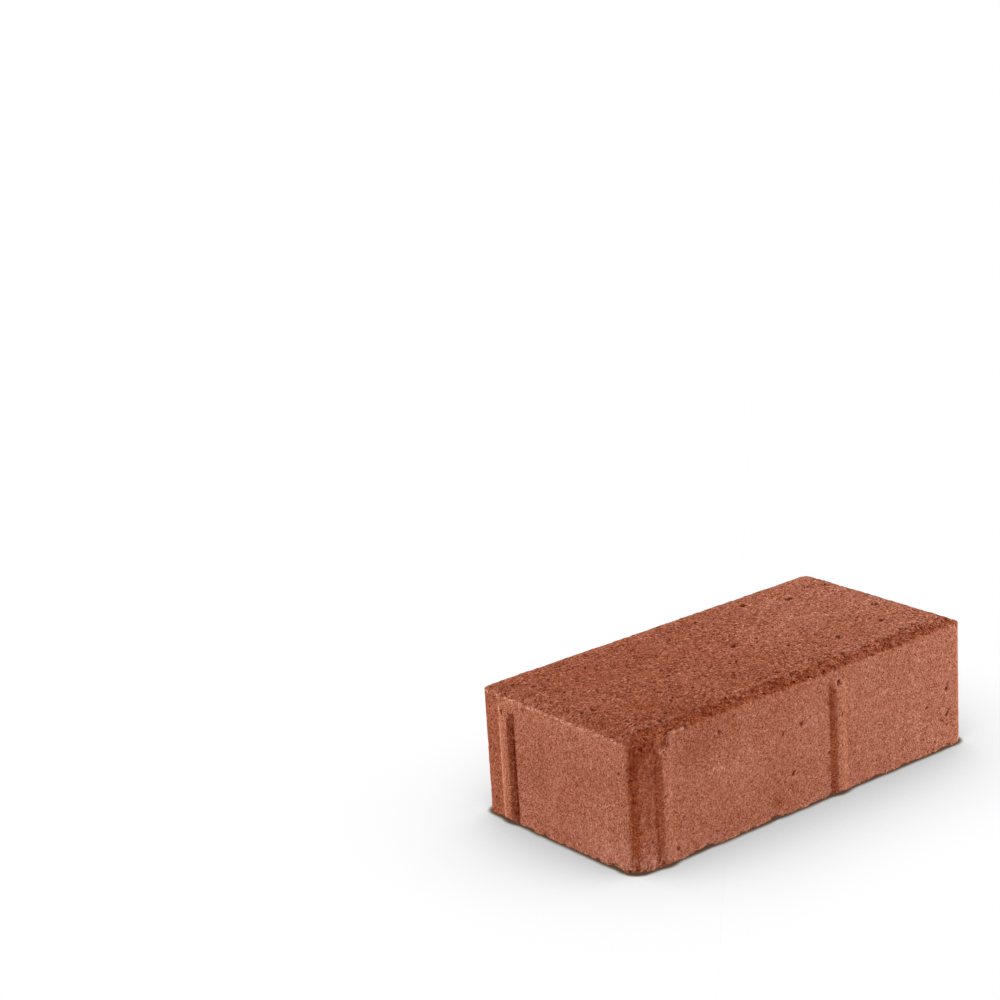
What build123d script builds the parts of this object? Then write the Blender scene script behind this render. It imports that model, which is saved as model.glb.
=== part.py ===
from build123d import *

import os

# Concrete paving stone, pressed in one piece: a block with a bevel round its top, rounded upright
# corners, and spacer ribs on its sides that keep the joint open between neighbouring stones.
# Millimetres. +Z is up, +X runs along the length, and the origin is the middle of the underside.

# Laying size, over the spacer ribs, and thickness
laying_length = 200.0
laying_width = 100.0
thickness = 60.0

# Bevel round the top, and rounding of the four upright corners
bevel_width = 6.5
bevel_drop = 3.5
corner_radius = 5.0

# Spacer rib: a strip with sloping flanks and a rounded crown, which runs out at its upper end, a
# little below the bevel
rib_projection = 1.5
rib_width = 10.5
rib_crown = 3.2
rib_crown_rounding = 2.0
rib_bedding = 2.0
rib_gap_under_bevel = 3.5
rib_run_out = 4.5

# Places of the ribs, from the left end of each side as seen from outside
first_rib = 17.5
rib_pitch = 100.0

# The block itself, without its ribs
body_length = laying_length - 2 * rib_projection
body_width = laying_width - 2 * rib_projection
side_height = thickness - bevel_drop

# The rib stands on the origin against the plane of its side, and projects along +Y
rib_height = side_height - rib_gap_under_bevel
half_rib = rib_width / 2
half_crown = rib_crown / 2

with BuildPart() as rib:
    with BuildSketch(Plane.XY) as rib_section:
        with BuildLine():
            Polyline(
                (-half_rib, -rib_bedding),
                (half_rib, -rib_bedding),
                (half_rib, 0),
                (half_crown, rib_projection),
                (-half_crown, rib_projection),
                (-half_rib, 0),
                close=True,
            )
        make_face()
        crown_corners = rib_section.vertices().group_by(Axis.Y)[-1]
        fillet(crown_corners, radius=rib_crown_rounding)
    extrude(amount=rib_height)
    # Seen from its end, the rib slopes back to the side over its last stretch
    with BuildSketch(Plane.YZ.offset(-half_rib)):
        with BuildLine():
            Polyline(
                (-rib_bedding, 0),
                (rib_projection, 0),
                (rib_projection, rib_height - rib_run_out),
                (0, rib_height),
                (-rib_bedding, rib_height),
                close=True,
            )
        make_face()
    extrude(amount=rib_width, mode=Mode.INTERSECT)

# Each side as its turn about the vertical, its length, its distance from the middle and its ribs
long_side_ribs = (first_rib, first_rib + rib_pitch)
short_side_ribs = (first_rib,)
sides = (
    (0, body_length, body_width / 2, long_side_ribs),
    (90, body_width, body_length / 2, short_side_ribs),
    (180, body_length, body_width / 2, long_side_ribs),
    (270, body_width, body_length / 2, short_side_ribs),
)

with BuildPart() as paving_stone:
    # Square-cornered block, bevelled all round the top
    with BuildSketch(Plane.XY):
        Rectangle(body_length, body_width)
    extrude(amount=thickness)
    top_face = paving_stone.faces().sort_by(Axis.Z)[-1]
    chamfer(top_face.edges(), length=bevel_width, length2=bevel_drop, reference=top_face)
    # The mould rounds the upright corners, through the bevel as well
    with BuildSketch(Plane.XY):
        RectangleRounded(body_length, body_width, corner_radius)
    extrude(amount=thickness, mode=Mode.INTERSECT)
    # Turned half round, the stone is the same again, so that any two sides can meet
    for turn, side_length, reach, ribs_on_side in sides:
        with Locations(Location((0, 0, 0), (0, 0, turn))):
            with Locations(*[(side_length / 2 - along, reach) for along in ribs_on_side]):
                add(rib.part)

paving_stone.part.label = "paving_stone"

os.makedirs("parts", exist_ok=True)
export_step(paving_stone.part, "parts/paving_stone.step")
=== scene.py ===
import math
from types import SimpleNamespace

import bpy
import numpy as np
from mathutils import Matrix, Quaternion, Vector, noise


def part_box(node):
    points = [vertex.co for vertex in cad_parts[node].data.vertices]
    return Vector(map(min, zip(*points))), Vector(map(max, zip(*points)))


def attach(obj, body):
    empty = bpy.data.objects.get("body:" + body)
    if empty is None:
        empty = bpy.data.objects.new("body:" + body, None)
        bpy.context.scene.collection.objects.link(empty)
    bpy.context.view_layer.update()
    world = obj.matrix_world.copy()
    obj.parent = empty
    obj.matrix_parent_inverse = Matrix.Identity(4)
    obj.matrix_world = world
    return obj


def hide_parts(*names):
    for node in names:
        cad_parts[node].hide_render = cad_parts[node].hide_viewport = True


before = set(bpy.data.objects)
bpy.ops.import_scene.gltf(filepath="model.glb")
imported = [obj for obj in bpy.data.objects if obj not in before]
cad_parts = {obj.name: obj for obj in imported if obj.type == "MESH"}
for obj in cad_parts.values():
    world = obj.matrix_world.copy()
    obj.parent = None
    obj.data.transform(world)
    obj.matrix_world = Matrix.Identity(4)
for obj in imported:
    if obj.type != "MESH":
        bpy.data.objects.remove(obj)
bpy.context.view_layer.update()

# A concrete paving stone lying on a pale studio floor. Everything is in metres, in the part's own
# frame: +X along the stone, +Z up, and the origin in the middle of its underside. The camera faces
# the near corner, at -X -Y, with the left side at -X and the front at -Y.
MM = 0.001

# The stone as it was pressed
low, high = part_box("paving_stone")
rib_projection = 1.5 * MM
half_length = high.x - rib_projection
half_width = high.y - rib_projection
height = high.z
corner_radius = 5.0 * MM
bevel_width = 6.5 * MM
bevel_drop = 3.5 * MM
bevel_tilt = math.atan2(bevel_drop, bevel_width)
side_height = height - bevel_drop

# The spacer ribs, with their places from the left end of each side as seen from outside
rib_half_width = 5.25 * MM
rib_half_crown = 1.6 * MM
rib_gap_under_bevel = 3.5 * MM
rib_top = side_height - rib_gap_under_bevel
rib_run_out = 4.5 * MM
rib_flank = math.atan2(rib_projection, rib_half_width - rib_half_crown)
first_rib = 17.5 * MM
rib_pitch = 100.0 * MM
rib_start = first_rib - rib_half_width

# Each rib as its foot on the plane of its side, and the way that side faces
RIBS = [
    ((first_rib - half_length, -half_width), (0, -1)),
    ((first_rib + rib_pitch - half_length, -half_width), (0, -1)),
    ((half_length, first_rib - half_width), (1, 0)),
    ((half_length - first_rib, half_width), (0, 1)),
    ((half_length - first_rib - rib_pitch, half_width), (0, 1)),
    ((-half_length, half_width - first_rib), (-1, 0)),
]
# The ones that the camera sees: beside the near corner, further along the front, on the left side
NEAR_RIB, MIDDLE_RIB, LEFT_RIB = RIBS[0], RIBS[1], RIBS[5]

# How far apart two noises with neighbouring seeds are taken, in their own features
seed_shift = 17.31

# How widely faces of the pressed shape run into each other
least_blend = 0.01 * MM
mitre_blend = 2.0 * MM
rib_crown_blend = 0.45 * MM
rib_foot_blend = 0.2 * MM

# The mesh: its spacing in plan, up the sides, beside the arrises and beside the feet of the ribs
plan_step = 0.82 * MM
side_step = 1.15 * MM
arris_step = 0.30 * MM
arris_reach = 1.2 * MM
foot_step = 0.36 * MM

# The mesh goes from the pressed to the worn shape in steps, each a share of what is left, along the
# way that a more rounded stone faces
march_steps = 14
march_share = 0.85
facing_round = 1.6 * MM
facing_reach = 0.3 * MM

# How far up the ribs' lower ends are worn, how far out and up the burrs round the foot go, and how
# deep the lost skin lies and the near rib's lost crown
rib_worn_end = 1.5 * MM
burr_limit = 1.1 * MM
burr_height = 3.5 * MM
lost_skin_depth = 0.42 * MM
lost_crown_depth = 0.35 * MM

# Where the front's lost skin beside the near corner breaks off, in millimetres along X
skin_break = -77.2

# Clusters of pits: the middle of each in millimetres, its radius and its depth
PITS = [
    ((4.5, -1.2, 60), 2.2, 0.7),
    ((62.5, 24.5, 60), 2.4, 0.7),
    ((42.2, 33.5, 60), 1.6, 0.6),
    ((-54.9, -18.1, 60), 1.5, 0.8),
    ((-49.5, -21, 60), 1.2, 0.5),
    ((70.1, -26.3, 60), 1.3, 0.9),
    ((32.2, 2.9, 60), 1.1, 0.6),
    ((-75.5, -34.8, 60), 1.1, 0.6),
    ((-58.0, -28.5, 60), 1.2, 0.6),
    ((12.2, -23.1, 60), 1.2, 0.5),
    ((83.8, -9.5, 60), 1.8, 0.6),
    ((80.5, 29.5, 60), 1.5, 0.6),
    ((-6.0, -36.5, 60), 1.4, 0.5),
    ((42.0, -27.5, 60), 1.6, 0.6),
    ((18.9, -49.3, 50.8), 1.3, 1.1),
    ((88.3, -48.5, 27.5), 1.5, 0.8),
    ((88.2, -48.5, 30.5), 1.0, 0.8),
    ((88.3, -48.5, 15.9), 1.2, 0.8),
    ((84.0, -48.5, 13.5), 1.0, 0.7),
    ((-13.5, -48.5, 36.8), 0.9, 0.5),
    ((-8.6, -48.5, 17.3), 1.0, 0.5),
    ((-2.8, -48.5, 38.0), 1.6, 0.4),
    ((20.3, -49.6, 36.0), 0.7, 0.8),
    ((-49.9, -48.5, 48.4), 0.9, 0.5),
    ((-98.5, 20, 54.5), 0.9, 0.6),
    ((-99.3, 33.4, 49.6), 1.4, 0.9),
]

# Chips out of the lower arris of the bevel at the far end and out of the back left corner, in the
# same way
CHIPS = [
    ((98.5, 31.2, 57.8), 1.9, 1.3),
    ((98.5, 7.0, 58.4), 1.4, 0.8),
    ((98.5, -11.5, 56.8), 1.3, 0.8),
    ((98.5, -29.6, 56.5), 2.0, 1.5),
    ((98.5, -37.9, 56.5), 1.6, 1.2),
    ((-98.0, 47.5, 32), 1.5, 0.6),
    ((-98.0, 47.5, 12), 1.6, 0.6),
]

# Chips out of the crown of the bevel at the far end
CROWN_CHIPS = [
    ((92.0, 24.0, 60), 1.3, 0.8),
    ((92.0, 17.5, 60), 1.0, 0.6),
    ((92.2, -1.0, 60), 1.2, 0.7),
    ((92.0, -27.0, 60), 1.5, 0.9),
    ((92.3, -39.5, 60), 1.3, 0.8),
]

# Pieces broken off the foot: place in plan in millimetres, radius and height
NOTCHES = [
    ((-19.5, -48.5), 4.5, 1.6),
    ((-33.4, -48.5), 3.0, 0.7),
    ((-58.5, -48.5), 6.0, 1.4),
    ((-67.0, -48.5), 4.0, 0.7),
    ((12.0, -48.5), 3.0, 0.5),
    ((41.8, -48.5), 4.0, 0.9),
    ((68.0, -48.5), 4.0, 0.4),
    ((85.5, -48.5), 5.0, 0.9),
    ((97.0, -47.0), 3.5, 1.3),
    ((-98.5, 31.5), 5.0, 1.5),
    ((-98.5, 19.0), 5.0, 0.9),
    ((-98.5, 7.5), 3.0, 0.6),
    ((-98.5, -12.0), 3.0, 0.3),
    ((-98.5, -36.0), 5.5, 1.8),
    ((-96.5, -46.5), 6.5, 2.4),
    ((-92.0, -48.5), 4.0, 0.9),
]

# Darker places, as the middle of each in millimetres, its radius and its strength
DARKER_PLACES = [
    ((-17.5, -48.5, 7.5), 4.5, 0.30),
    ((-46.0, -19.0, 60), 9.0, 0.22),
    ((-14.0, -30.0, 60), 8.0, 0.20),
    ((-66.0, -38.0, 60), 8.0, 0.22),
    ((8.0, 6.0, 60), 7.0, 0.15),
    ((-58.0, -48.5, 46.0), 15.0, 0.15),
    ((-98.5, 12.0, 28.0), 14.0, 0.24),
    ((-98.5, -11.0, 46.0), 12.0, 0.14),
]

# Painted shade on flanks of ribs: the rib, 1 for its left flank as seen from outside or -1 for its
# right one, and how dark
FLANK_PAINTED_SHADE = [
    (LEFT_RIB, -1, 0.95),
    (MIDDLE_RIB, 1, 0.45),
    (NEAR_RIB, 1, 0.32),
    (NEAR_RIB, -1, 0.10),
]

# Sizes of what the material draws, and the colours of the painted shade in pits and pinholes and of
# grains rubbed bare and painted highlights
sand_grain = 0.46 * MM
gravel_grain = 0.88 * MM
grain_warp = 0.6 * MM
mottle_size = 2.6 * MM
cloud_size = 24 * MM
pinhole_spacing = 2.2 * MM
bump_depth = 0.30 * MM
pit_shade_tint = (0.34, 0.17, 0.10)
rubbed_and_highlight_colour = (0.74, 0.355, 0.25)

# The floor: its half width, and how far the painted soft shadow and the painted contact line reach
# from the stone
floor_reach = 20
shadow_reach = 0.08
contact_reach = 2.9 * MM

# Softboxes in a ring round the stone: bearing from +X and height above the floor in degrees, and watts
SOFTBOXES = {
    "left_softbox": (135.0, 10, 11.6),
    "right_softbox": (-38.0, 10, 10.9),
    "front_right_softbox": (-75.0, 10, 8.6),
    "back_left_softbox": (98.0, 25, 16.5),
    "back_right_softbox": (5.8, 25, 22.0),
    "front_left_softbox": (185.8, 20, 5.2),
}
softbox_distance = 1.3
softbox_size = (0.9, 0.7)


def smooth_max(a, b, reach):
    """The larger of two distances, blended where they differ by less than reach."""
    near = np.clip(1 - np.abs(a - b) / reach, 0, 1)
    return np.maximum(a, b) + near**2 * reach / 4


def smooth_min(a, b, reach):
    """The smaller of two distances, blended in the same way."""
    return -smooth_max(-a, -b, reach)


def smooth_step(value, start, end):
    """0 before start, 1 after end and a smooth rise between."""
    part = np.clip((value - start) / (end - start), 0, 1)
    return part * part * (3 - 2 * part)


def fade_out(value, start, end):
    """1 before start, 0 after end and a smooth fall between."""
    return 1 - smooth_step(value, start, end)


def noise_at(points, size, seed):
    """Smooth noise from about -1 to 1, with features of the given size."""
    shifted = points / size + seed_shift * seed
    return np.array([noise.noise(point) for point in shifted.tolist()])


def patches(points, size, start, seed):
    """0 over most of the stone, rising towards 1 in scattered patches of the given size."""
    return np.clip((noise_at(points, size, seed) - start) / (0.8 - start), 0, 1)


def grid_lines(end, open_step, arrises, feet=()):
    """Places from -end to end, closer together beside the given arrises and feet of ribs."""
    fine = np.linspace(-end, end, 4001)
    density = np.full_like(fine, 1 / open_step)
    for places, step in ((arrises, arris_step), (feet, foot_step)):
        for place in places:
            closer = 1 / step - 1 / open_step
            density += closer * np.exp(-(((fine - place) / arris_reach) ** 2))
    steps = (density[1:] + density[:-1]) / 2 * np.diff(fine)
    count = np.concatenate([[0], np.cumsum(steps)])
    even = 2 * round(count[-1] / 2)
    return np.interp(np.linspace(0, count[-1], even + 1), count, fine)


def rounded_corners(x, y):
    """Grid points, moved in at the corners so that the outermost ones follow the rounded corners."""
    straight_x = half_length - corner_radius
    straight_y = half_width - corner_radius
    a = np.clip((np.abs(x) - straight_x) / corner_radius, 0, 1)
    b = np.clip((np.abs(y) - straight_y) / corner_radius, 0, 1)
    inside = (a > 0) & (b > 0)
    round_x = straight_x + corner_radius * a * np.sqrt(1 - b**2 / 2)
    round_y = straight_y + corner_radius * b * np.sqrt(1 - a**2 / 2)
    return (
        np.where(inside, np.sign(x) * round_x, x),
        np.where(inside, np.sign(y) * round_y, y),
    )


def inset_from_sides(x, y):
    """How far a point of the plan lies inside the nearest side."""
    return np.minimum(half_length - np.abs(x), half_width - np.abs(y))


def bevel_height(x, y):
    """Height of the top and its bevel over a point of the plan."""
    return np.minimum(height, side_height + inset_from_sides(x, y) * bevel_drop / bevel_width)


def beside_rib(x, y, rib):
    """Distances of points from a rib's foot: to its left as seen from outside, and outwards."""
    (foot_x, foot_y), (face_x, face_y) = rib
    along = (x - foot_x) * face_y - (y - foot_y) * face_x
    return along, (x - foot_x) * face_x + (y - foot_y) * face_y


def rib_profile(along, z):
    """How far a rib stands out, at a distance along the side from its middle."""
    flank = (rib_half_width - np.abs(along)) * math.tan(rib_flank)
    slope = rib_projection * (rib_top - z) / rib_run_out
    return np.clip(np.minimum(flank, slope), 0, rib_projection)


def rib_feet(axis):
    """Places along an axis where the ribs' flanks meet the sides."""
    feet = [foot[axis] for foot, face in RIBS if not face[axis]]
    return [foot + way * rib_half_width for foot in feet for way in (-1, 1)]


def side_rings(rim, levels):
    """Rings of points up the sides under the rim, one for each level, pushed out where ribs are."""
    rings = np.repeat(rim[None], len(levels), axis=0)
    rings[:, :, 2] *= levels[:, None]
    for rib in RIBS:
        along, out = beside_rib(rings[..., 0], rings[..., 1], rib)
        bulge = np.where(out > -0.5 * MM, rib_profile(along, rings[..., 2]), 0)
        rings[..., 0] += rib[1][0] * bulge
        rings[..., 1] += rib[1][1] * bulge
    return rings


def grid_faces(nx, ny, nz, loop, inner):
    """Faces of the top, the sides and the underside, over points in that order."""

    def top_index(i, j):
        return i * (ny + 1) + j

    ring_start = (nx + 1) * (ny + 1)
    ring_index = [[ring_start + k * len(loop) + m for m in range(len(loop))] for k in range(nz)]
    ring_index.append([top_index(i, j) for i, j in loop])
    under_start = ring_start + nz * len(loop)
    under = {place: ring_index[0][m] for m, place in enumerate(loop)}
    under.update({place: under_start + m for m, place in enumerate(inner)})

    faces = []
    for i in range(nx):
        for j in range(ny):
            corners = ((i, j), (i + 1, j), (i + 1, j + 1), (i, j + 1))
            faces.append(tuple(top_index(*corner) for corner in corners))
    for lower, upper in zip(ring_index, ring_index[1:]):
        for m in range(len(loop)):
            n = (m + 1) % len(loop)
            faces.append((lower[m], lower[n], upper[n], upper[m]))
    around = [(0, 0), (0, 1), (0, 2), (1, 2), (2, 2), (2, 1), (2, 0), (1, 0)]
    for i in range(0, nx, 2):
        for j in range(0, ny, 2):
            places = [(i + a, j + b) for a, b in around]
            faces.append(tuple(under[place] for place in places if place in under))
    return faces


def stone_grid():
    """Points and faces of the pressed stone: a fine grid on the top and sides, and every other line
    of it on the underside."""
    lines = []
    for axis, half in enumerate((half_length, half_width)):
        arrises = [sign * (half - inset) for sign in (-1, 1) for inset in (0, bevel_width)]
        lines.append(grid_lines(half, plan_step, arrises, rib_feet(axis)))
    half_side = side_height / 2
    levels = (grid_lines(half_side, side_step, (-half_side, half_side)) + half_side) / side_height
    nx, ny, nz = len(lines[0]) - 1, len(lines[1]) - 1, len(levels) - 1

    plan_x, plan_y = rounded_corners(*np.meshgrid(*lines, indexing="ij"))
    top = np.stack([plan_x, plan_y, bevel_height(plan_x, plan_y)], axis=-1)
    loop = [(i, 0) for i in range(nx)] + [(nx, j) for j in range(ny)]
    loop += [(i, ny) for i in range(nx, 0, -1)] + [(0, j) for j in range(ny, 0, -1)]
    rings = side_rings(top[tuple(np.array(loop).T)], levels[:nz])
    inner = [(i, j) for i in range(2, nx, 2) for j in range(2, ny, 2)]
    underside = top[tuple(np.array(inner).T)] * (1, 1, 0)
    points = np.concatenate([top.reshape(-1, 3), rings.reshape(-1, 3), underside])
    return points, grid_faces(nx, ny, nz, loop, inner)


def rib_distance(x, y, z, rib):
    """Distance outside a rib, with its two flanks, its crown, its run-out and its worn lower end."""
    along, out = beside_rib(x, y, rib)
    flank = (np.abs(along) - rib_half_width) * math.sin(rib_flank) + out * math.cos(rib_flank)
    crown = smooth_max(flank, out - rib_projection, rib_crown_blend)
    run_out = out - rib_projection * (rib_top - z) / rib_run_out
    worn_end = out - rib_projection * z / rib_worn_end
    shape = np.maximum(np.maximum(crown, run_out), worn_end)
    return np.where(out > -1 * MM, shape, 1)


def bevel_distance(x, y, z):
    """Distance outside the sloping planes of the bevel, which meet in a soft mitre."""
    rise = (z - side_height) * math.cos(bevel_tilt)
    slope_x = (np.abs(x) - half_length) * math.sin(bevel_tilt) + rise
    slope_y = (np.abs(y) - half_width) * math.sin(bevel_tilt) + rise
    return smooth_max(slope_x, slope_y, mitre_blend)


def stone_distance(
    points, arris=0.0, crown=0.0, crown_wear=0.0, top_chip=0.0, foot_chip=0.0, burr=0.0
):
    """Distance outside the pressed stone, with its arrises rounded, worn and chipped by that much,
    and with its foot pushed out by that much."""
    x, y, z = points.T
    over_x = np.abs(x) - (half_length - corner_radius)
    over_y = np.abs(y) - (half_width - corner_radius)
    outside = np.hypot(np.maximum(over_x, 0), np.maximum(over_y, 0))
    side = outside + np.minimum(np.maximum(over_x, over_y), 0) - corner_radius
    bevel = bevel_distance(x, y, z) + crown_wear * np.clip((z - side_height) / bevel_drop, 0, 1)
    lid = smooth_max(bevel, z - height, crown + least_blend)
    for rib in RIBS:
        side = smooth_min(side, rib_distance(x, y, z, rib), rib_foot_blend)
    side = side - burr * fade_out(z, 0.3 * MM, burr_height)
    body = smooth_max(lid, side, arris + least_blend)
    body = np.maximum(body, (lid + side + top_chip) / math.sqrt(2))
    body = smooth_max(body, -z, arris + least_blend)
    return np.maximum(body, (side - z + foot_chip) / math.sqrt(2))


def outline_points(fractions, inset):
    """Places round the stone's plan, at that inset from its sides."""
    a, b = half_length - inset, half_width - inset
    x = np.array([-a, a, a, -a, -a])
    y = np.array([-b, -b, b, b, -b])
    walked = np.concatenate([[0], np.cumsum(np.hypot(np.diff(x), np.diff(y)))])
    at = fractions * walked[-1]
    return np.interp(at, walked, x), np.interp(at, walked, y)


def clusters(chosen, base, rng):
    """For each chosen hollow, four smaller ones scattered round it on the surface."""
    hollows = []
    for middle, radius, depth in chosen:
        for _ in range(4):
            place = (np.array(middle) + rng.normal(size=3) * radius * 0.45) * MM
            nearest = np.argmin(np.linalg.norm(base - place, axis=1))
            size = radius * rng.uniform(0.5, 0.85)
            hollows.append((base[nearest], size * MM, depth * rng.uniform(0.7, 1.2) * MM))
    return hollows


def scattered_hollows(base):
    """Pits all over and chips along the arrises, each as its middle, radius and depth."""
    rng = np.random.default_rng(12)
    hollows = clusters(PITS + CHIPS, base, rng)
    # Pits at random: where, how many and the smallest radius in millimetres
    everywhere = np.arange(len(base))
    on_top = np.flatnonzero(base[:, 2] > height - 0.1 * MM)
    for places, count, smallest in ((everywhere, 170, 0.5), (on_top, 100, 0.6)):
        for index in rng.choice(places, count):
            radius = (smallest + 0.8 * rng.random() ** 3) * MM
            hollows.append((base[index], radius, radius * rng.uniform(0.3, 0.6)))
    # Chips at random along the foot, the lower arris and the crown of the bevel: inset, level, how
    # many and how far they stray in millimetres
    edges = ((0, 0, 110, 0.2), (0, side_height, 70, 0.2), (bevel_width, height, 60, 0.9))
    for inset, level, count, stray in edges:
        x, y = outline_points(rng.random(count), inset)
        for middle_x, middle_y in zip(x, y):
            radius = (0.5 + 1.2 * rng.random() ** 3) * MM
            strayed = rng.normal(size=3) * (stray, stray, 0) * MM
            middle = np.array([middle_x, middle_y, level]) + strayed
            hollows.append((middle, radius, radius * rng.uniform(0.2, 0.45)))
    return hollows + clusters(CROWN_CHIPS, base, rng)


def hollow_depth(base, hollows):
    """How deep the pits and chips are at each point, with uneven edges."""
    uneven = 1 + 0.5 * noise_at(base, 1.1 * MM, 21)
    depth = np.zeros(len(base))
    for middle, radius, deep in hollows:
        near = np.flatnonzero(np.abs(base - middle).max(axis=1) < 1.8 * radius)
        distance = np.linalg.norm(base[near] - middle, axis=1) * uneven[near] / radius
        depth[near] = np.maximum(depth[near], deep * fade_out(distance, 0.25, 1.05))
    return depth


def notch_height(base):
    """How high the foot is broken off at each point, with uneven ends."""
    stray = 1 + 0.45 * noise_at(base, 2.2 * MM, 33)
    broken = np.zeros(len(base))
    for middle, radius, up in NOTCHES:
        distance = np.linalg.norm(base[:, :2] / MM - middle, axis=1) * stray / radius
        broken = np.maximum(broken, up * fade_out(distance, 0.45, 1.0))
    return broken * (0.8 + 0.35 * noise_at(base, 1.5 * MM, 34)) * MM


def on_front(base):
    """True on the front and its ribs."""
    return base[:, 1] < -half_width + 1 * MM


def lost_skin(base):
    """From 0 to 1 where the front has lost its skin beside the near corner: under the bevel, with a
    clean break at its far end."""
    x, _, z = base.T / MM
    ragged = 1.2 * noise_at(base, 2.6 * MM, 32)
    beside_corner = smooth_step(x, -99, -94) * fade_out(x, skin_break - 0.3, skin_break + 0.3)
    return on_front(base) * beside_corner * smooth_step(z + ragged, 48.5, 54.5)


def spall_depth(base):
    """How deep the lost skin lies, with some of the near rib's crown gone as well."""
    x, _, z = base.T / MM
    rib_x = NEAR_RIB[0][0] / MM
    uneven = 0.7 + 0.9 * noise_at(base, 1.9 * MM, 31)
    crown = smooth_step(x, rib_x - 2.5, rib_x) * fade_out(x, rib_x + 3.5, rib_x + 5.5)
    crown = crown * smooth_step(z, 2, 14) * on_front(base)
    return (lost_skin_depth * lost_skin(base) + lost_crown_depth * crown) * uneven


def sandy_relief(base):
    """Depth of the sandy relief: stronger on the top, strongest along the crown of the bevel, and
    fading at the foot."""
    x, y, z = base.T
    on_top = smooth_step(z, side_height, side_height + 0.5 * MM)
    relief = 0.12 + 0.10 * on_top
    # The size of each noise in millimetres, its depth on the sides, its extra depth on top, its seed
    layers = ((1.3, 0.08, 0.16, 6), (2.4, 0.06, 0.18, 7), (5.5, 0.05, 0.12, 8), (19, 0.07, 0.08, 10))
    for size, depth, extra, seed in layers:
        relief += (depth + extra * on_top) * noise_at(base, size * MM, seed)
    from_crown = np.abs(inset_from_sides(x, y) - bevel_width)
    by_crown = on_top * fade_out(from_crown, 0.3 * MM, 2.4 * MM)
    relief += 0.5 * by_crown * patches(base, 3 * MM, -0.15, 12)
    relief *= 0.3 + 0.7 * smooth_step(z, 0.2 * MM, 2.5 * MM)
    return np.clip(relief, 0, None) * MM


def edge_wear(base):
    """How much the arrises are rounded, worn and chipped at each point, and the foot pushed out."""
    notch = notch_height(base)
    top_chip = 0.05 + 0.40 * patches(base, 2.3 * MM, 0.0, 2) + 0.6 * patches(base, 8 * MM, 0.42, 3)
    foot_chip = 0.03 + 1.7 * patches(base, 1.9 * MM, 0.05, 4) + 1.5 * patches(base, 6 * MM, 0.25, 5)
    burr = 0.9 * patches(base, 8 * MM, -0.1, 35) + 0.6 * patches(base, 2.6 * MM, 0.0, 36)
    return {
        "arris": (0.30 + 0.25 * noise_at(base, 5 * MM, 1)) * MM,
        "crown": (0.6 + 0.4 * noise_at(base, 7 * MM, 11)) * MM,
        "crown_wear": 0.3 * MM * patches(base, 9 * MM, -0.1, 9),
        "top_chip": top_chip * MM,
        "foot_chip": foot_chip * MM + notch,
        "burr": np.clip(burr * MM, 0, burr_limit) * fade_out(notch, 0.1 * MM, 0.6 * MM),
    }


def facing(base):
    """Which way a stone with well rounded arrises faces at each point."""
    slope = []
    for axis in np.eye(3) * facing_reach:
        ahead, behind = (
            stone_distance(base + way * axis, arris=facing_round, crown=facing_round)
            for way in (1, -1)
        )
        slope.append(ahead - behind)
    outward = np.stack(slope, axis=1)
    return outward / np.linalg.norm(outward, axis=1)[:, None]


def worn_stone(base):
    """Moves the grid from the pressed shape: sandy relief, pits, and worn and chipped arrises. Also
    gives how deep each point is sunk, and which way the pressed stone faces there."""
    wear = edge_wear(base)
    sunk = hollow_depth(base, scattered_hollows(base))
    depth = sandy_relief(base) + sunk + spall_depth(base)
    outward = facing(base)
    points = base.copy()
    for _ in range(march_steps):
        gap = stone_distance(points, **wear) + depth
        points -= outward * (march_share * gap)[:, None]
    return np.clip(points, low, high), sunk, outward


def add_node(tree, kind, inputs=None, **settings):
    """A node with its settings, and its sockets linked or set by name or number."""
    node = tree.nodes.new(kind)
    for key, value in settings.items():
        setattr(node, key, value)
    for key, value in (inputs or {}).items():
        if isinstance(value, bpy.types.NodeSocket):
            tree.links.new(value, node.inputs[key])
        else:
            node.inputs[key].default_value = value
    return node


def ramp_node(tree, factor, stops):
    """A colour ramp through the given (position, colour) stops."""
    ramp = add_node(tree, "ShaderNodeValToRGB", {"Fac": factor})
    for _ in stops[2:]:
        ramp.color_ramp.elements.new(0.5)
    for element, (position, colour) in zip(ramp.color_ramp.elements, stops):
        element.position = position
        element.color = (*colour, 1)
    return ramp.outputs["Color"]


def mix_colours(tree, factor, first, second, blend="MIX"):
    """Mixes two colours, each a socket or three numbers."""
    colours = [c if isinstance(c, bpy.types.NodeSocket) else (*c, 1) for c in (first, second)]
    inputs = {0: factor, 6: colours[0], 7: colours[1]}
    return add_node(tree, "ShaderNodeMix", inputs, data_type="RGBA", blend_type=blend).outputs[2]


def multiply_colours(tree, colour, tint, factor=1.0):
    return mix_colours(tree, factor, colour, tint, "MULTIPLY")


def fade_node(tree, value, start, end, low_end=0.0, high_end=1.0):
    """Maps value from start..end to low_end..high_end, and holds it at both ends."""
    ends = {"From Min": start, "From Max": end, "To Min": low_end, "To Max": high_end}
    return add_node(tree, "ShaderNodeMapRange", {"Value": value, **ends}).outputs["Result"]


def maths_node(tree, operation, first, second):
    node = add_node(tree, "ShaderNodeMath", {0: first, 1: second}, operation=operation)
    return node.outputs["Value"]


def attribute_node(tree, name):
    """A value that colour_stone gives to each point of the mesh."""
    return add_node(tree, "ShaderNodeAttribute", attribute_name=name).outputs["Fac"]


def noise_node(tree, place, size, detail, roughness=0.5, output="Fac"):
    settings = {"Vector": place, "Scale": 1 / size, "Detail": detail, "Roughness": roughness}
    return add_node(tree, "ShaderNodeTexNoise", settings).outputs[output]


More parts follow.
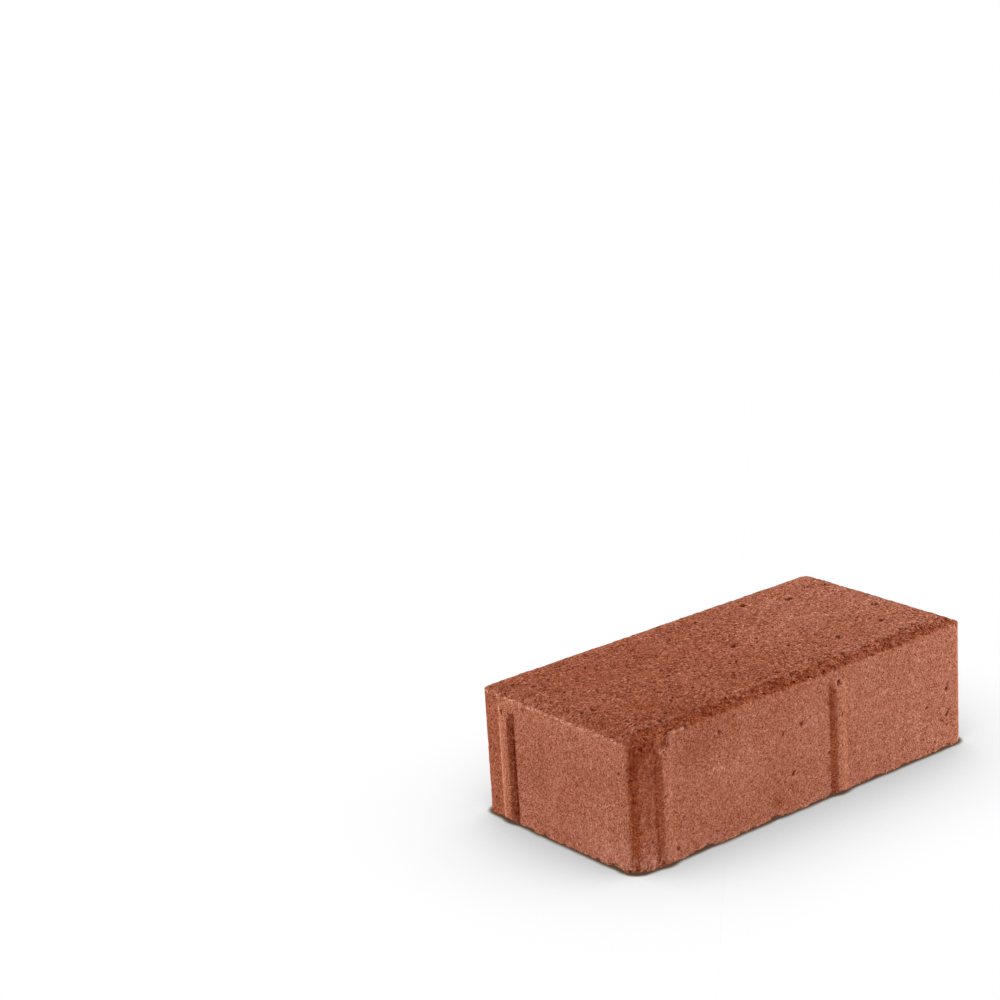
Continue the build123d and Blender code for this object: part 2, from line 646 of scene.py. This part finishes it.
def cells_node(tree, place, size, channel="Red"):
    """Grains of the given size: the distance from each one's middle, and a value of its own."""
    cells = add_node(tree, "ShaderNodeTexVoronoi", {"Vector": place, "Scale": 1 / size})
    split = add_node(tree, "ShaderNodeSeparateColor", {"Color": cells.outputs["Color"]})
    return cells.outputs["Distance"], split.outputs[channel]


def grain_colour(tree, place, gravel_tone, coarse):
    """Sand grains, each of its own tone, with larger ones and soft patches that are stronger where
    the surface is coarse."""
    _, sand_tone = cells_node(tree, place, sand_grain)
    sand_stops = [
        (0.0, (0.145, 0.027, 0.010)),
        (0.22, (0.335, 0.104, 0.055)),
        (0.78, (0.43, 0.157, 0.094)),
        (1.0, (0.61, 0.262, 0.178)),
    ]
    gravel_stops = [
        (0.0, (0.44, 0.27, 0.18)),
        (0.2, (0.86, 0.81, 0.77)),
        (0.8, (1.12, 1.17, 1.20)),
        (1.0, (1.50, 1.78, 2.0)),
    ]
    mottle_stops = [(0.28, (0.62, 0.46, 0.37)), (0.72, (1.24, 1.38, 1.48))]
    cloud_stops = [(0.3, (0.93, 0.88, 0.84)), (0.7, (1.05, 1.09, 1.12))]
    colour = ramp_node(tree, sand_tone, sand_stops)
    gravel = ramp_node(tree, gravel_tone, gravel_stops)
    colour = multiply_colours(tree, colour, gravel, fade_node(tree, coarse, 0, 1, 0.12, 0.95))
    mottle = ramp_node(tree, noise_node(tree, place, mottle_size, 4, 0.7), mottle_stops)
    colour = multiply_colours(tree, colour, mottle, fade_node(tree, coarse, 0, 1, 0.35, 1.0))
    clouds = ramp_node(tree, noise_node(tree, place, cloud_size, 2), cloud_stops)
    return multiply_colours(tree, colour, clouds)


def skin_colour(tree, colour, pinhole):
    """Paler and deeper red places, partly dust and partly painted shade; darker skin and places with
    painted shade; painted shade in pinholes, pits and dips; and rubbed grains with painted highlights.
    """
    dust_and_shade_stops = [(0.0, (1.0, 0.70, 0.50)), (1.0, (1.0, 1.06, 1.12))]
    shade_stops = [(0.0, (1.0, 1.0, 1.0)), (0.8, (0.59, 0.445, 0.365)), (1.0, (0.35, 0.16, 0.075))]
    # Tints for dust and painted shade, and for darker skin with painted shade
    for name, stops in (("dust_and_shade", dust_and_shade_stops), ("shade", shade_stops)):
        tint = ramp_node(tree, attribute_node(tree, name), stops)
        colour = multiply_colours(tree, colour, tint)
    # Painted shade in pinholes, and in pits and dips
    colour = multiply_colours(tree, colour, pit_shade_tint, pinhole)
    colour = multiply_colours(tree, colour, pit_shade_tint, attribute_node(tree, "hollow"))
    # Rubbed grains and painted highlights
    return mix_colours(tree, attribute_node(tree, "rubbed_and_highlight"), colour, rubbed_and_highlight_colour)


def pinhole_mask(tree, warped, coarse):
    """1 in scattered pinholes of many sizes, larger where the surface is coarse."""
    distance, own = cells_node(tree, warped, pinhole_spacing, "Green")
    size = fade_node(tree, own, 0.55, 1.0, 0.0, 0.26)
    size = maths_node(tree, "MULTIPLY", size, fade_node(tree, coarse, 0, 1, 0.8, 1.4))
    return fade_node(tree, maths_node(tree, "SUBTRACT", size, distance), 0.0, 0.08)


def grain_bump(tree, place, gravel_distance, pinhole, coarse):
    """Relief of the grains, finer than the mesh, and of the pinholes."""
    sand = noise_node(tree, place, 0.42 * MM, 2, 0.6)
    grit = noise_node(tree, place, 0.9 * MM, 2)
    relief = maths_node(tree, "MULTIPLY", grit, fade_node(tree, coarse, 0, 1, 0.35, 1.5))
    relief = maths_node(tree, "ADD", relief, maths_node(tree, "MULTIPLY", sand, 0.55))
    gravel_height = fade_node(tree, coarse, 0, 1, 0.1, 0.9)
    rounded = maths_node(tree, "MULTIPLY", gravel_distance, gravel_height)
    relief = maths_node(tree, "SUBTRACT", relief, rounded)
    relief = maths_node(tree, "SUBTRACT", relief, pinhole)
    settings = {"Height": relief, "Strength": 1.0, "Distance": bump_depth}
    return add_node(tree, "ShaderNodeBump", settings).outputs["Normal"]


def concrete_material():
    """Red through-coloured concrete: sand grains in a matt cement, paler in some places, partly dust
    and partly painted shade.
    """
    material = bpy.data.materials.new("red_concrete")
    material.use_nodes = True
    tree = material.node_tree
    shader = tree.nodes["Principled BSDF"]
    place = add_node(tree, "ShaderNodeTexCoord").outputs["Object"]
    coarse = attribute_node(tree, "coarse")
    # Places strayed a little, so that larger grains and pinholes have uneven outlines
    stray = noise_node(tree, place, 0.9 * MM, 1, output="Color")
    inputs = {0: grain_warp, 4: place, 5: stray}
    warped = add_node(tree, "ShaderNodeMix", inputs, data_type="VECTOR").outputs[1]

    gravel_distance, gravel_tone = cells_node(tree, warped, gravel_grain)
    pinhole = pinhole_mask(tree, warped, coarse)
    colour = grain_colour(tree, place, gravel_tone, coarse)
    tree.links.new(skin_colour(tree, colour, pinhole), shader.inputs["Base Color"])
    normal = grain_bump(tree, place, gravel_distance, pinhole, coarse)
    tree.links.new(normal, shader.inputs["Normal"])
    shader.inputs["Roughness"].default_value = 0.9
    shader.inputs["Specular IOR Level"].default_value = 0.0
    return material


def rib_face(base, rib):
    """1 on the side that a rib stands on, fading out at the rib's upper end."""
    out = beside_rib(base[:, 0], base[:, 1], rib)[1]
    return (out > -1 * MM) * fade_out(base[:, 2], rib_top - 3 * MM, rib_top)


def flank_shade_mask(base, rib, way):
    """Where painted shade goes on one flank of a rib, from 0 to 1, strongest at its foot: with way 1
    its left flank as seen from outside, with -1 its right one."""
    across = way * beside_rib(base[:, 0], base[:, 1], rib)[0] / MM
    crown, foot = rib_half_crown / MM, rib_half_width / MM
    on_flank = smooth_step(across, crown - 0.4, crown + 0.4)
    on_flank = on_flank * fade_out(across, foot - 0.15, foot + 0.15) * rib_face(base, rib)
    return on_flank * (0.7 + 0.3 * smooth_step(across, foot - 1.35, foot - 0.65))


def bumpiness(mesh, points):
    """How far each point lies below the middle of its neighbours, as a share of 0.1 mm."""
    ends = np.empty(2 * len(mesh.edges), dtype=np.int32)
    mesh.edges.foreach_get("vertices", ends)
    ends = ends.reshape(-1, 2)
    normals = np.empty(3 * len(points))
    mesh.vertices.foreach_get("normal", normals)
    normals = normals.reshape(-1, 3)
    both = np.concatenate([ends, ends[:, ::-1]])
    count = np.bincount(both[:, 0], minlength=len(points))
    sums = [np.bincount(both[:, 0], points[both[:, 1], axis], len(points)) for axis in range(3)]
    middle = np.stack(sums, axis=1) / count[:, None]
    return np.sum((middle - points) * normals, axis=1) / (0.1 * MM)


def stone_zones(base, outward):
    """Where each point lies and which way it faces, with the noises that the tones have in common.
    Places are in millimetres, and most zones are shares from 0 to 1."""
    at = SimpleNamespace(base=base)
    at.x, at.y, at.z = base.T / MM
    at.from_left = at.x + half_length / MM
    at.from_front = at.y + half_width / MM
    at.from_corner = at.from_left + at.from_front
    at.over_arris = at.z - side_height / MM
    at.from_crown = np.abs(at.y) - (half_width - bevel_width) / MM
    at.along = smooth_step(at.x, -60, 95)

    at.broad = noise_at(base, 7 * MM, 41)
    at.blotch = noise_at(base, 3.5 * MM, 42)
    at.speck = noise_at(base, 1.3 * MM, 44)
    at.grains = smooth_step(noise_at(base, 0.8 * MM, 43), 0.0, 0.4)

    at.on_side = at.over_arris < -0.2
    at.on_top = smooth_step(at.z, height / MM - 0.7, height / MM)
    at.on_bevel = smooth_step(at.over_arris, -0.2, 0.4) * (1 - at.on_top)
    at.on_arris = fade_out(np.abs(at.over_arris), 0.35, 0.85)
    at.nearer_front = np.abs(at.from_front) < np.abs(at.from_left)
    at.long_bevel = at.on_bevel * (at.from_crown > 0) * at.nearer_front
    at.lost = lost_skin(base)

    # Which way the surface faces: 0 degrees on the left side, 90 on the front. What is turned to the
    # near corner gets painted shade and a deeper red, from a sharp edge on the left of it.
    at.bearing = np.degrees(np.arctan2(-outward[:, 1], -outward[:, 0]))
    fuzzy = at.bearing + 14 * at.speck * fade_out(at.z, 4, 24)
    at.turned = smooth_step(fuzzy, 18, 28) * fade_out(at.bearing, 58, 86) * at.on_side
    at.corner_foot = fade_out(at.z, 3, 11) * fade_out(at.from_corner, 8, 24)

    # Strips of darker skin from the near rib to the near corner, and from the left rib to the left
    start = rib_start / MM
    front_strip = fade_out(at.from_left, start - 0.25, start + 1.25) * (at.from_front < 2)
    front_strip = front_strip * at.on_side * (1 - 0.55 * fade_out(at.z, 3, 30))
    from_back = half_width / MM - at.y
    left_strip = fade_out(from_back, start - 1.25, start + 0.25) * (at.from_left < 2) * at.on_side
    at.strip = np.maximum(front_strip, 0.60 * left_strip)
    return at


def dust_and_shade_values(at):
    """Paler on the sides and towards the right, deeper red near the near corner and on the bevel:
    partly dust and partly painted shade, paler where the lamps fall stronger. Random patches of dust.
    """
    dust_and_shade = np.where(at.on_side, 0.84 + 0.14 * at.along, 0.5)
    dust_and_shade = dust_and_shade * (1 - at.on_top) + at.on_top * (0.60 + 0.28 * at.along)
    dust_and_shade -= at.long_bevel * (0.30 - 0.26 * at.along)
    dust_and_shade += 0.03 * at.on_bevel * (1 - at.nearer_front)
    # Painted shade: the corner turned away from the lamps is deeper red
    dust_and_shade -= 0.9 * dust_and_shade * at.turned
    dust_and_shade -= 0.35 * at.strip + 0.4 * at.lost
    dust_and_shade += (0.08 + 0.10 * at.on_top) * at.broad + (0.07 + 0.10 * at.on_top) * at.blotch
    return dust_and_shade


def side_shade(at):
    """Darker skin beside the near corner and darker high on the front; painted shade on the lost skin,
    on the corner turned from the lamps and round the back left corner.
    """
    # Darker skin in the strips, and painted shade where the skin is lost
    shade = at.strip * (0.46 + 0.25 * at.speck + 0.2 * at.blotch) + 0.3 * at.lost * (1 + at.speck)
    # Painted shade on the corner turned away from the lamps
    shade += at.turned * (0.02 + 0.11 * smooth_step(at.z, 8, 45))
    high_up = smooth_step(at.z, 28, 48) * (0.15 - 0.09 * smooth_step(at.x, -40, 5))
    shade += (at.from_front < 2) * at.on_side * high_up
    back_left = (at.from_left < 6) * (at.y > half_width / MM - 6)
    # Painted shade round the back left corner, where the lamps catch its edge
    shade += 0.30 * at.on_side * back_left * smooth_step(-at.bearing, 4, 30)
    return shade


def top_shade(at):
    """Darker bevel, the long one most, partly painted shade; the top darker towards the left, which is
    painted shade; darker patches on the top and a broken dark rim at its far end.
    """
    blotch, speck = np.clip(at.blotch, 0, 1), np.clip(at.speck, 0, 1)
    # The long bevel darker, partly painted shade
    shade = at.long_bevel * smooth_step(at.over_arris, 0.1, 0.6) * (0.24 + 0.6 * blotch + 0.5 * speck)
    shade += at.on_bevel * (1 - at.nearer_front) * (0.04 + 0.25 * blotch)
    patchy = np.clip(at.broad + 0.5 * at.blotch - 0.15, 0, 1)
    # Painted shade darkening the top towards the left, and darker patches
    shade += at.on_top * (0.27 * (1 - at.along) + 0.35 * patchy)
    from_rim = np.abs((half_length - bevel_width) / MM - at.x)
    far_rim = (at.x > 0) * fade_out(from_rim, 0.6, 1.9) * (at.over_arris > 1)
    return shade + 0.9 * far_rim * np.clip(at.speck + 0.35, 0, 1)


def shade_values(at):
    """How dark each point is made: darker skin and darker places, with painted shade on the flanks of
    ribs, the turned corner, the lost skin, the bevel and the top.
    """
    shade = side_shade(at) + top_shade(at)
    uneven = 1 + 0.6 * at.speck
    # Painted shade on the flanks of ribs
    for rib, way, strength in FLANK_PAINTED_SHADE:
        shade += strength * at.on_side * flank_shade_mask(at.base, rib, way) * uneven
    for middle, radius, strength in DARKER_PLACES:
        distance = np.linalg.norm(at.base / MM - middle, axis=1) * (1 + 0.4 * at.blotch) / radius
        shade += strength * uneven * fade_out(distance, 0.2, 1.0)
    return shade


def coarse_values(at):
    """Coarse on the top and its bevel, and less so in the darker skin of the sides and at the foot
    of the near corner."""
    uneven = np.clip(0.88 + 0.55 * noise_at(at.base, 9 * MM, 45) + 0.2 * at.blotch, 0.25, 1)
    above = at.on_top * uneven + at.on_bevel * (0.7 + 0.3 * at.nearer_front)
    return np.maximum.reduce([above, 0.35 * (at.strip > 0.1), 0.7 * at.lost, 0.7 * at.corner_foot])


def hollow_values(at, sunk, bumpy):
    """Painted shade in pits and dips, less on and beside the bevel and hardly any at the foot."""
    x, y, _ = at.base.T
    by_bevel = smooth_step(at.over_arris, -1.5, -0.5)
    by_bevel = by_bevel * fade_out(inset_from_sides(x, y) / MM, 8, 9.5)
    hollow = np.minimum(sunk / (0.5 * MM) + 0.2 * np.clip(bumpy, 0, 2), 1)
    return hollow * (1 - 0.55 * by_bevel) * (0.1 + 0.9 * smooth_step(at.z, 2, 4))


def painted_highlight_lines(at):
    """Painted highlights: light lines along the crown, up the left rib's foot and at the break of the
    lost skin.
    """
    crown = fade_out(np.abs(at.from_crown), 0.2, 0.6) * at.nearer_front * at.on_top
    crown = crown * fade_out(at.x, -80, -50) * smooth_step(at.broad + at.speck, -0.2, 0.5)
    from_rib = beside_rib(at.base[:, 0], at.base[:, 1], LEFT_RIB)[0] - rib_half_width
    rib_foot = fade_out(np.abs(from_rib / MM + 0.35), 0.3, 0.75) * rib_face(at.base, LEFT_RIB)
    past = at.x - skin_break
    upright = smooth_step(past, -0.4, 0.2) * fade_out(past, 0.6, 1.1) * smooth_step(at.z, 51.5, 53)
    arris = smooth_step(past, 0, 0.6) * fade_out(past, 6.2, 10.2) * at.on_arris
    skin_edge = (at.from_front < 1) * np.maximum(upright * (at.over_arris < 0.5), arris)
    return [
        0.4 * crown,
        0.42 * rib_foot * at.on_side * (0.8 + 0.4 * at.blotch),
        0.6 * skin_edge * (0.7 + 0.6 * at.speck),
    ]


def rubbed_and_highlight_values(at, bumpy):
    """Grains lighter on what stands proud, partly rubbed bare and partly painted light; grains rubbed
    bare along the left arris, round the near corner and in the notches of the foot; and the painted
    highlight lines."""
    near_corner = (at.from_left < 6) * (at.from_front < 6) * at.on_side
    corner_edge = near_corner * smooth_step(at.bearing, 3, 12) * fade_out(at.bearing, 17, 24)
    near_foot = fade_out(at.z, 6, 20) * fade_out(at.from_corner, 10, 50) * at.on_side
    notched = fade_out(at.z, 1.5, 4) * np.clip(notch_height(at.base) / MM, 0, 1) * at.on_side
    grains = [
        0.4 * smooth_step(-bumpy, 0.35, 1.2),
        at.on_arris * (at.from_left < 1),
        0.10 * corner_edge,
        0.10 * at.strip,
        0.6 * at.corner_foot * at.on_side,
        0.5 * notched,
    ]
    by_foot = (0.04 + 0.24 * at.grains) * near_foot * (1 - at.turned)
    spots = [at.grains * strength for strength in grains]
    return np.maximum.reduce(spots + [by_foot] + painted_highlight_lines(at))


def colour_stone(mesh, base, points, sunk, outward):
    """Gives each point the values that the material reads."""
    at = stone_zones(base, outward)
    bumpy = bumpiness(mesh, points)
    values = {
        "dust_and_shade": dust_and_shade_values(at),
        "shade": shade_values(at),
        "coarse": coarse_values(at),
        "hollow": hollow_values(at, sunk, bumpy),
        "rubbed_and_highlight": rubbed_and_highlight_values(at, bumpy),
    }
    for name, numbers in values.items():
        attribute = mesh.attributes.new(name, "FLOAT", "POINT")
        attribute.data.foreach_set("value", np.clip(numbers, 0, 1).astype(np.float32))


def make_stone():
    base, faces = stone_grid()
    points, sunk, outward = worn_stone(base)
    mesh = bpy.data.meshes.new("worn_concrete_stone")
    mesh.from_pydata(points.tolist(), [], faces)
    mesh.shade_smooth()
    mesh.materials.append(concrete_material())
    colour_stone(mesh, base, points, sunk, outward)
    stone = bpy.data.objects.new("worn_concrete_stone", mesh)
    bpy.context.collection.objects.link(stone)
    return stone


def floor_with_painted_shadow(tree):
    """What the camera sees of the floor: white, with a painted soft shadow round the foot of the stone
    and a painted thin dark line where they touch, both drawn from ambient occlusion."""
    shadow_stops = [(0.45, (0.49,) * 3), (0.81, (0.90,) * 3), (0.90, (0.965,) * 3), (0.98, (1.0,) * 3)]
    contact_stops = [
        (0.58, (0.20, 0.11, 0.07)),
        (0.70, (0.24, 0.17, 0.13)),
        (0.82, (0.50, 0.46, 0.40)),
        (0.93, (0.86, 0.85, 0.82)),
        (1.0, (1, 1, 1)),
    ]
    tones = []
    for reach, stops in ((shadow_reach, shadow_stops), (contact_reach, contact_stops)):
        open_share = add_node(tree, "ShaderNodeAmbientOcclusion", {"Distance": reach}, samples=16)
        tones.append(ramp_node(tree, open_share.outputs["AO"], stops))
    seen = multiply_colours(tree, *tones)
    return add_node(tree, "ShaderNodeEmission", {"Color": seen, "Strength": 1.0}).outputs["Emission"]


def pale_floor_material():
    """A matt pale grey that lights the stone from below, and what the camera sees instead of it."""
    material = bpy.data.materials.new("pale_floor")
    material.use_nodes = True
    tree = material.node_tree
    shader = tree.nodes["Principled BSDF"]
    shader.inputs["Base Color"].default_value = (0.7, 0.7, 0.7, 1)
    shader.inputs["Roughness"].default_value = 0.9
    by_camera = add_node(tree, "ShaderNodeLightPath").outputs["Is Camera Ray"]
    inputs = {"Fac": by_camera, 1: shader.outputs["BSDF"], 2: floor_with_painted_shadow(tree)}
    look = add_node(tree, "ShaderNodeMixShader", inputs)
    tree.links.new(look.outputs["Shader"], tree.nodes["Material Output"].inputs["Surface"])
    return material


def make_floor():
    """A pale floor, large enough to fill the view."""
    corners = [(x * floor_reach, y * floor_reach, 0) for x, y in ((-1, -1), (1, -1), (1, 1), (-1, 1))]
    mesh = bpy.data.meshes.new("studio_floor")
    mesh.from_pydata(corners, [], [(0, 1, 2, 3)])
    mesh.materials.append(pale_floor_material())
    floor = bpy.data.objects.new("studio_floor", mesh)
    bpy.context.collection.objects.link(floor)
    return floor


def add_softbox(name, place, aim, power):
    light = bpy.data.lights.new(name, "AREA")
    light.shape = "RECTANGLE"
    light.size, light.size_y = softbox_size
    light.energy = power
    lamp = bpy.data.objects.new(name, light)
    lamp.location = place
    lamp.rotation_mode = "QUATERNION"
    lamp.rotation_quaternion = (aim - place).to_track_quat("-Z", "Y")
    bpy.context.collection.objects.link(lamp)


def make_lights():
    """The ring of softboxes, aimed at the stone's middle, and a background that is white to the
    camera and gives no light."""
    middle = Vector((0, 0, 30 * MM))
    for name, (bearing, lift, power) in SOFTBOXES.items():
        turn, rise = math.radians(bearing), math.radians(lift)
        way = Vector((math.cos(turn) * math.cos(rise), math.sin(turn) * math.cos(rise), math.sin(rise)))
        add_softbox(name, middle + softbox_distance * way, middle, power)
    world = bpy.data.worlds.new("studio")
    world.use_nodes = True
    bpy.context.scene.world = world
    tree = world.node_tree
    by_camera = add_node(tree, "ShaderNodeLightPath").outputs["Is Camera Ray"]
    tree.links.new(by_camera, tree.nodes["Background"].inputs["Strength"])
    tree.nodes["Background"].inputs["Color"].default_value = (1, 1, 1, 1)


def make_camera():
    """The photograph's viewpoint: a long lens, a little above the stone and slightly tilted."""
    place = Vector((-688.06, -742.63, 438.37)) * MM
    aim = Vector((193.3, 405.9, 0)) * MM
    roll = math.radians(-3.66)
    camera = bpy.data.objects.new("camera", bpy.data.cameras.new("camera"))
    camera.data.sensor_width = 36
    camera.data.lens = 88.92
    camera.location = place
    camera.rotation_mode = "QUATERNION"
    camera.rotation_quaternion = (aim - place).to_track_quat("-Z", "Y") @ Quaternion((0, 0, 1), roll)
    bpy.context.collection.objects.link(camera)
    bpy.context.scene.camera = camera


stone = make_stone()
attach(stone, "root")
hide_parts("paving_stone")
make_floor()
make_lights()
make_camera()
bpy.context.scene.view_settings.view_transform = "Standard"
